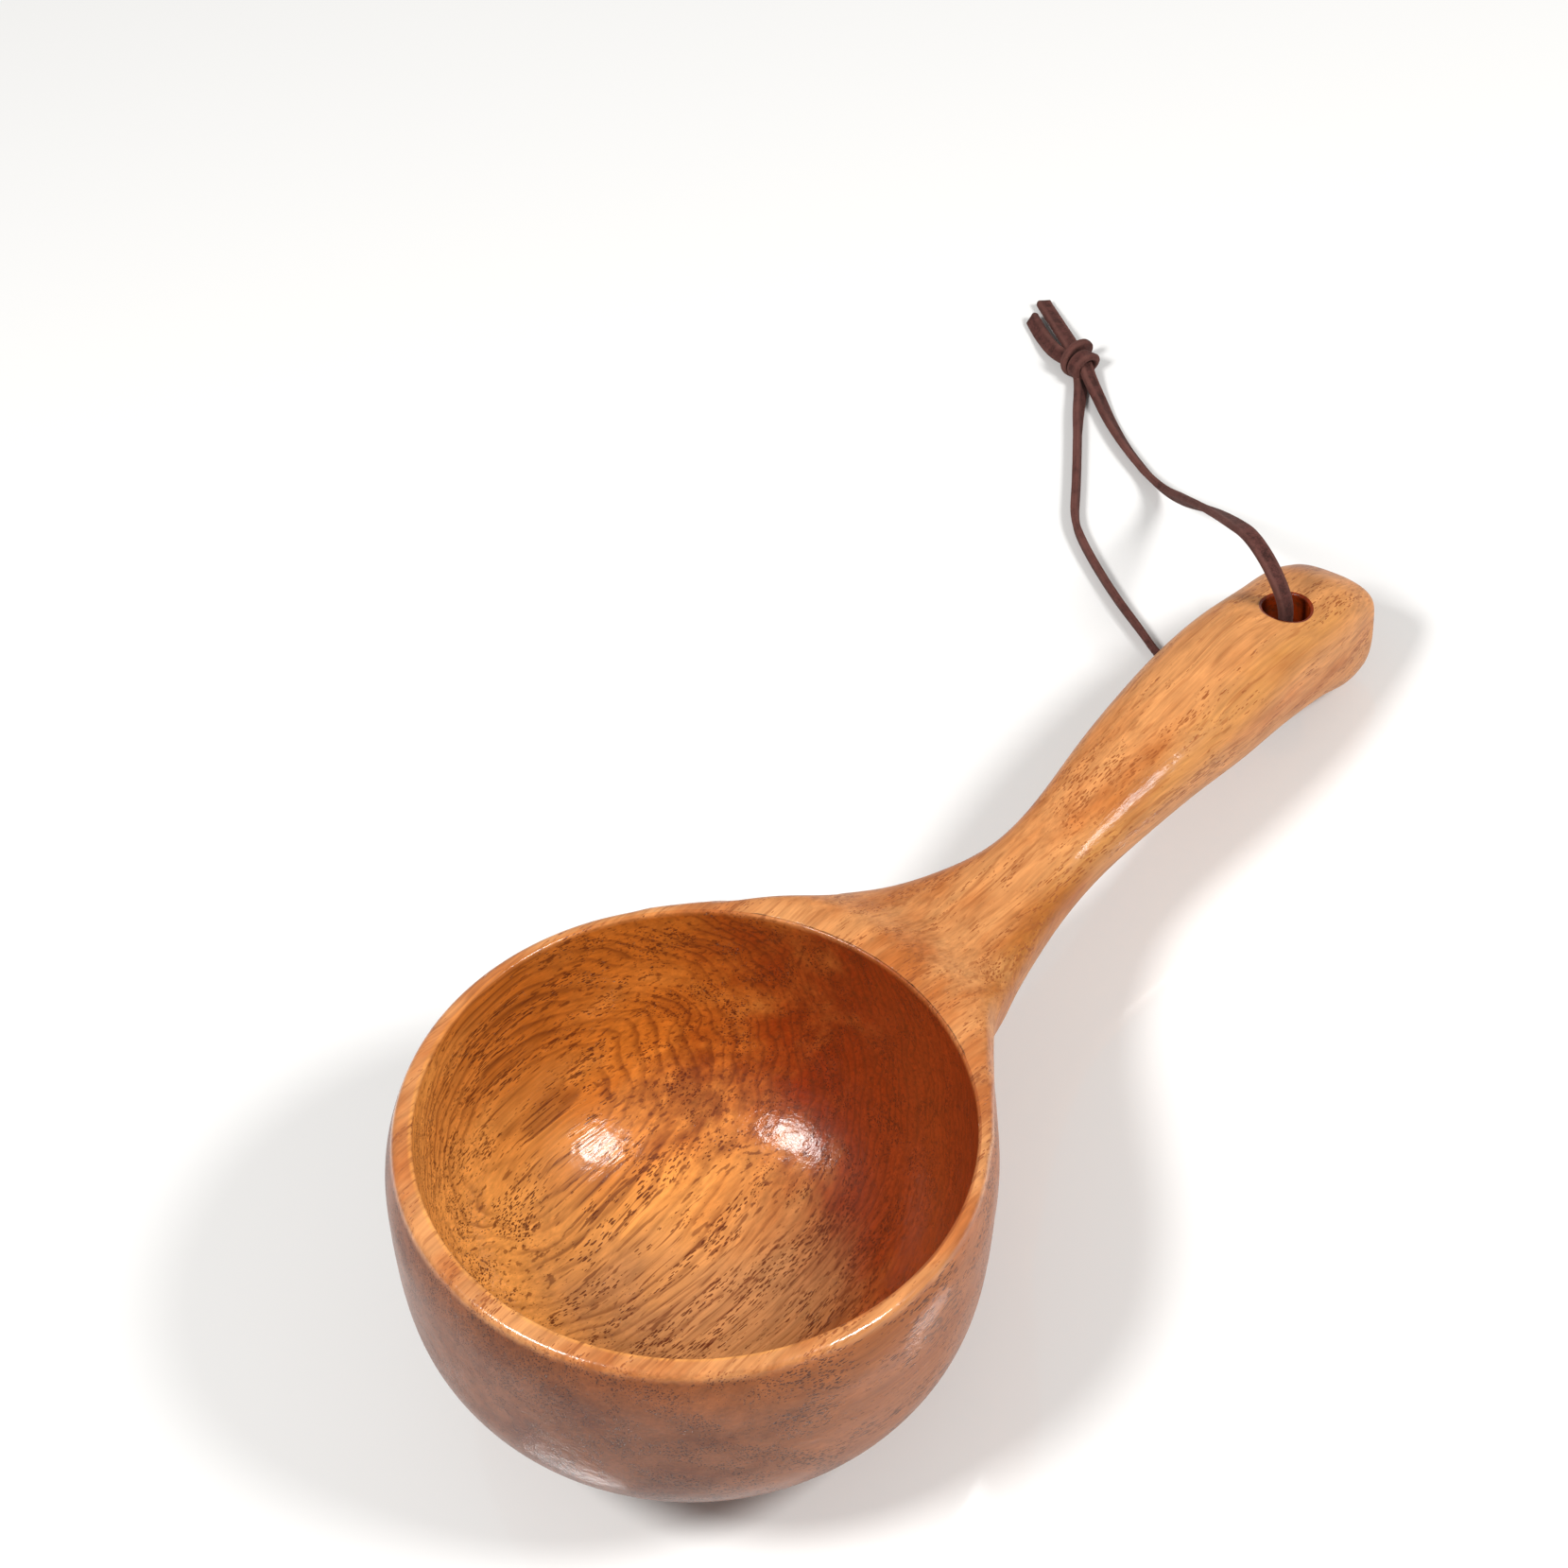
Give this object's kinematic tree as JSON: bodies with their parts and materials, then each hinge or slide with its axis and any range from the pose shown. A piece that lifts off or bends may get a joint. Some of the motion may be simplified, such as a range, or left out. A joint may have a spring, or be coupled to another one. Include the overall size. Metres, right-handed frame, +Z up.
{
  "type": "wooden water dipper with hanging lace",
  "caption": "Deep round wooden bowl carved in one piece with a curved handle, for scooping and pouring water, with a suede lace looped through a hole near the handle's end for hanging.",
  "frame": {"origin": "middle of the bounding box of the dipper without its lace, at the level of the table that it rests on", "axes": "+X along the handle, from the bowl towards the hanging hole; +Y across the handle, to the side where the lace lies; +Z up from the table"},
  "size_m": [0.3231, 0.1841, 0.0799],
  "materials": {
    "varnished_wood": "clear gloss varnish over open-grained honey-brown wood",
    "brown_suede": "matt dark chocolate-brown suede with paler worn edges"
  },
  "bodies": {
    "root": {"dipper_body": "varnished_wood", "lace_upper_strand": "brown_suede", "lace_lower_strand": "brown_suede", "lace_knot": "brown_suede"}
  },
  "joints": []
}
